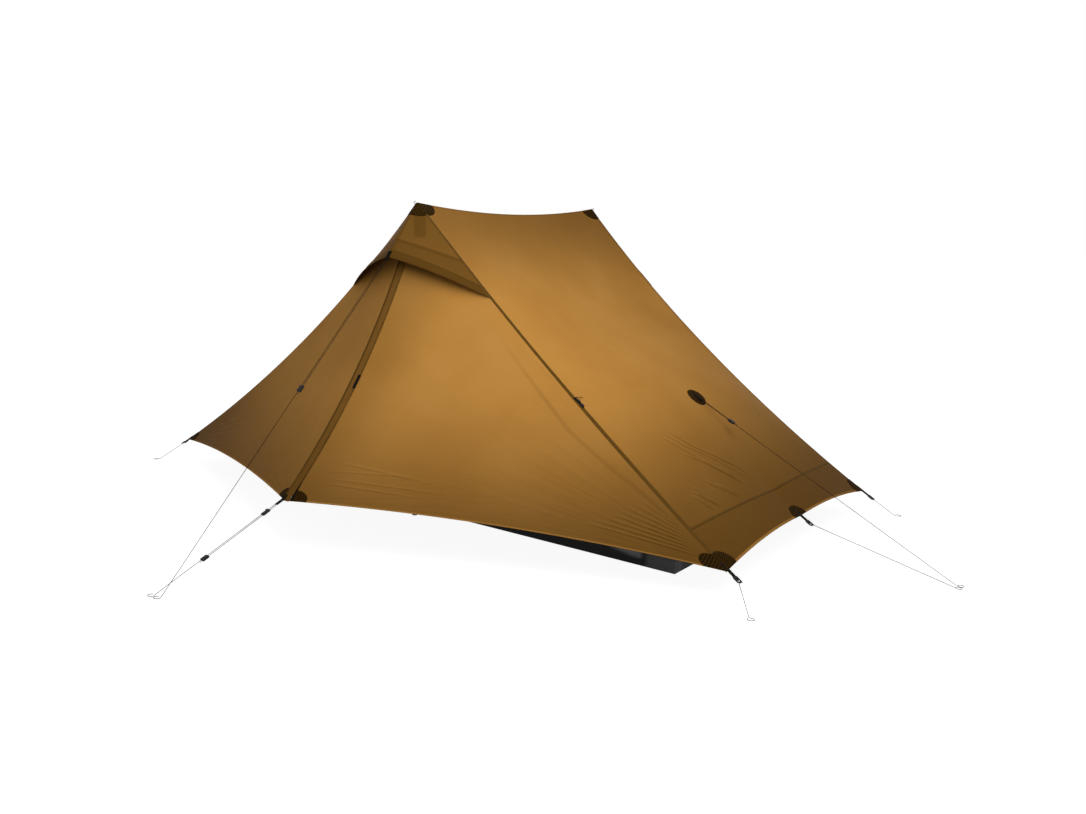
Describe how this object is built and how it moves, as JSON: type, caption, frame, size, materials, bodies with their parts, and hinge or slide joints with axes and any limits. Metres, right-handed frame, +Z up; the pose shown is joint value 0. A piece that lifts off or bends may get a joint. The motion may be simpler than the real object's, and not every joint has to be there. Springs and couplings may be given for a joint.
{
  "type": "trekking pole tent",
  "caption": "Double-peak tent pitched on two trekking poles: tight fly with zipped vestibule doors, vent hoods and guylines over a mesh inner with a bathtub floor.",
  "frame": {"origin": "on the ground, under the middle of the tent", "axes": "+X along the tent, from its left end to its right end; +Y from the near door to the far one; +Z up"},
  "size_m": [3.9968, 3.6566, 1.2538],
  "materials": {
    "fly_orange_silnylon": "silicone-coated ripstop nylon, slight sheen",
    "dark_ripstop": "coated ripstop, matt black",
    "black_webbing": "woven polyester webbing",
    "grey_cord": "braided cord with a light fleck",
    "black_plastic": "moulded acetal, satin",
    "foam_grip": "closed-cell foam, matt",
    "anodised_tube": "dark anodised tube, satin",
    "inner_mesh": "fine no-see-um mesh, matt",
    "tub_nylon": "coated nylon, satin black"
  },
  "bodies": {
    "near_leaf": {"near_door_leaf": "fly_orange_silnylon"},
    "near_slider": {"near_zip_slider": "black_plastic"},
    "near_hood_lock": {"near_hood_line_lock": "black_plastic"},
    "near_vestibule_lock": {"near_vestibule_line_lock": "black_plastic"},
    "near_lower_pole": {"near_pole_lower_shaft": "anodised_tube"},
    "near_lever": {"near_pole_lock_lever": "black_plastic"},
    "near_mesh_door": {"near_inner_door": "inner_mesh"},
    "near_toggle": {"near_tie_back_toggle": "black_plastic"},
    "far_leaf": {"far_door_leaf": "fly_orange_silnylon"},
    "far_slider": {"far_zip_slider": "black_plastic"},
    "far_hood_lock": {"far_hood_line_lock": "black_plastic"},
    "far_vestibule_lock": {"far_vestibule_line_lock": "black_plastic"},
    "far_lower_pole": {"far_pole_lower_shaft": "anodised_tube"},
    "far_lever": {"far_pole_lock_lever": "black_plastic"},
    "far_mesh_door": {"far_inner_door": "inner_mesh"},
    "far_toggle": {"far_tie_back_toggle": "black_plastic"},
    "right_roof_lock": {"right_roof_line_lock": "black_plastic"},
    "left_roof_lock": {"left_roof_line_lock": "black_plastic"},
    "tent": {"far_door_gusset": "fly_orange_silnylon", "far_hood_guyline": "grey_cord", "far_left_corner_anchor": "black_webbing", "far_left_corner_guyline": "grey_cord", "far_peak_patch": "dark_ripstop", "far_pole_grip": "foam_grip", "far_pole_upper_shaft": "anodised_tube", "far_right_corner_anchor": "black_webbing", "far_right_corner_guyline": "grey_cord", "far_staked_door": "fly_orange_silnylon", "far_storm_flap": "fly_orange_silnylon", "far_vent_hood": "fly_orange_silnylon", "far_vestibule_anchor": "black_webbing", "far_vestibule_guyline": "grey_cord", "far_zip": "black_webbing", "floor_tub": "tub_nylon", "inner_canopy": "inner_mesh", "left_end_anchor": "black_webbing", "left_end_guyline": "grey_cord", "left_roof_guyline": "grey_cord", "left_roof_panel": "fly_orange_silnylon", "left_roof_tieout": "dark_ripstop", "near_door_gusset": "fly_orange_silnylon", "near_hood_guyline": "grey_cord", "near_left_corner_anchor": "black_webbing", "near_left_corner_guyline": "grey_cord", "near_peak_patch": "dark_ripstop", "near_pole_grip": "foam_grip", "near_pole_upper_shaft": "anodised_tube", "near_right_corner_anchor": "black_webbing", "near_right_corner_guyline": "grey_cord", "near_staked_door": "fly_orange_silnylon", "near_storm_flap": "fly_orange_silnylon", "near_vent_hood": "fly_orange_silnylon", "near_vestibule_anchor": "black_webbing", "near_vestibule_guyline": "grey_cord", "near_zip": "black_webbing", "right_end_anchor": "black_webbing", "right_end_guyline": "grey_cord", "right_roof_guyline": "grey_cord", "right_roof_panel": "fly_orange_silnylon", "right_roof_tieout": "dark_ripstop"}
  },
  "joints": [
    {"name": "near_door_swing", "type": "hinge", "parent": "tent", "child": "near_leaf", "pos_m": [0.0303, -0.75634, 0.94069], "axis": [-0.8536, -0.0562, 0.5178], "range_deg": [0, 150]},
    {"name": "near_zip_run", "type": "hinge", "parent": "tent", "child": "near_slider", "pos_m": [0.015, -3.27161, 2.22552], "axis": [1, 0, 0], "range_deg": [0, 18.02]},
    {"name": "far_door_swing", "type": "hinge", "parent": "tent", "child": "far_leaf", "pos_m": [-0.0303, 0.75634, 0.94069], "axis": [0.8536, 0.0562, 0.5178], "range_deg": [0, 150]},
    {"name": "far_zip_run", "type": "hinge", "parent": "tent", "child": "far_slider", "pos_m": [-0.015, 3.27161, 2.22552], "axis": [-1, 0, 0], "range_deg": [0, 18.02]},
    {"name": "near_hood_lock_slide", "type": "slide", "parent": "tent", "child": "near_hood_lock", "axis": [-0.0104, 0.6991, 0.7149], "range_m": [0, 0.45]},
    {"name": "near_vestibule_lock_slide", "type": "slide", "parent": "tent", "child": "near_vestibule_lock", "axis": [0.0275, 0.9234, 0.3828], "range_m": [0, 0.22]},
    {"name": "far_hood_lock_slide", "type": "slide", "parent": "tent", "child": "far_hood_lock", "axis": [0.0104, -0.6991, 0.7149], "range_m": [0, 0.45]},
    {"name": "far_vestibule_lock_slide", "type": "slide", "parent": "tent", "child": "far_vestibule_lock", "axis": [-0.0275, -0.9234, 0.3828], "range_m": [0, 0.22]},
    {"name": "right_roof_lock_slide", "type": "slide", "parent": "tent", "child": "right_roof_lock", "axis": [-0.8886, -0.0141, 0.4584], "range_m": [0, 0.09]},
    {"name": "left_roof_lock_slide", "type": "slide", "parent": "tent", "child": "left_roof_lock", "axis": [0.8886, 0.0141, 0.4584], "range_m": [0, 0.09]},
    {"name": "near_pole_length", "type": "slide", "parent": "tent", "child": "near_lower_pole", "axis": [0, 0, 1], "range_m": [0, 0.25]},
    {"name": "near_pole_clamp", "type": "hinge", "parent": "tent", "child": "near_lever", "pos_m": [0, -0.6306, 0.63895], "axis": [0, 0, -1], "range_deg": [0, 120]},
    {"name": "near_mesh_door_drop", "type": "hinge", "parent": "tent", "child": "near_mesh_door", "pos_m": [0, -0.531, 0.1503], "axis": [-1, 0, 0], "range_deg": [0, 34]},
    {"name": "near_toggle_lift", "type": "hinge", "parent": "tent", "child": "near_toggle", "pos_m": [0.76529, -0.60227, 0.57667], "axis": [-0.1335, -0.9844, -0.1145], "range_deg": [0, 90]},
    {"name": "far_pole_length", "type": "slide", "parent": "tent", "child": "far_lower_pole", "axis": [0, 0, 1], "range_m": [0, 0.25]},
    {"name": "far_pole_clamp", "type": "hinge", "parent": "tent", "child": "far_lever", "pos_m": [0, 0.6306, 0.63895], "axis": [0, 0, -1], "range_deg": [0, 120]},
    {"name": "far_mesh_door_drop", "type": "hinge", "parent": "tent", "child": "far_mesh_door", "pos_m": [0, 0.531, 0.1503], "axis": [1, 0, 0], "range_deg": [0, 34]},
    {"name": "far_toggle_lift", "type": "hinge", "parent": "tent", "child": "far_toggle", "pos_m": [-0.76529, 0.60227, 0.57667], "axis": [0.1335, 0.9844, -0.1145], "range_deg": [0, 90]}
  ],
  "couplings": [
    {"joint": "near_zip_run", "follows": "near_door_swing", "ratio": 0.12014},
    {"joint": "far_zip_run", "follows": "far_door_swing", "ratio": 0.12014}
  ]
}
